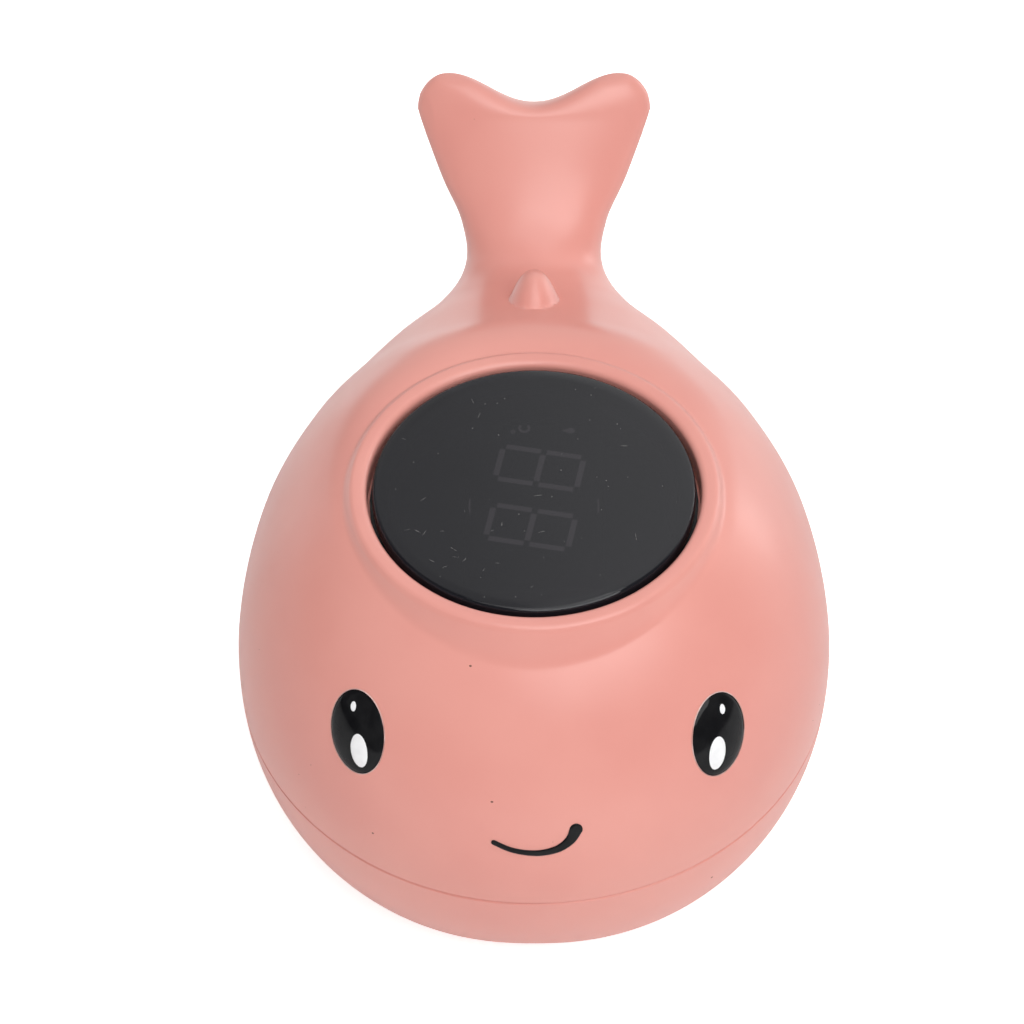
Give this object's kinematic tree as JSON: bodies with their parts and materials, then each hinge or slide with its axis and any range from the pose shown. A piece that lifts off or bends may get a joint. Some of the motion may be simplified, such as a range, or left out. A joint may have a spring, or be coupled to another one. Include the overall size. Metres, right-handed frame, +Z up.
{
  "type": "baby bath thermometer",
  "caption": "Floating whale-shaped bath thermometer: a hollow two-shell hull with a flat foot, a raised tail, a round smoked display window on its back and sensor studs in the belly.",
  "frame": {"origin": "on the flat foot, right under the centre of the round display", "axes": "+Z up, -Y towards the face, +Y towards the tail, +X to the viewer's right"},
  "size_m": [0.075, 0.1056, 0.0629],
  "materials": {
    "body": "moulded salmon-pink plastic with a soft satin gloss",
    "lens": "polished smoked acrylic",
    "eye": "high-gloss black",
    "print": "white print",
    "rubber": "soft grey silicone",
    "steel": "plain stainless steel",
    "board": "green circuit board",
    "black": "black plastic",
    "cell": "plain wrapped cell can",
    "white_wire": "wire insulation",
    "yellow_wire": "wire insulation",
    "red_wire": "wire insulation"
  },
  "bodies": {
    "root": {"battery_cover": "body", "battery_left": "cell", "battery_right": "cell", "battery_wire_black": "black", "battery_wire_red": "red_wire", "board_screw_1": "steel", "board_screw_2": "steel", "board_screw_3": "steel", "board_screw_4": "steel", "control_chip": "black", "cover_screw_left": "steel", "cover_screw_right": "steel", "cover_seal": "rubber", "display_board": "board", "display_lens": "lens", "display_module": "black", "hull_screw_1": "steel", "hull_screw_2": "steel", "hull_screw_3": "steel", "hull_screw_4": "steel", "hull_seal": "rubber", "left_eye": "eye", "left_glint_large": "print", "left_glint_small": "print", "lens_gasket": "rubber", "link_contact": "steel", "link_spring": "steel", "lower_shell": "body", "negative_spring": "steel", "negative_terminal": "steel", "pin_wire_left": "yellow_wire", "pin_wire_right": "yellow_wire", "positive_terminal": "steel", "right_eye": "eye", "right_glint_large": "print", "right_glint_small": "print", "sensor_cap": "steel", "sensor_wire_left": "white_wire", "sensor_wire_right": "white_wire", "smile": "eye", "thermistor": "black", "upper_shell": "body", "water_pin_left": "steel", "water_pin_right": "steel"}
  },
  "joints": []
}
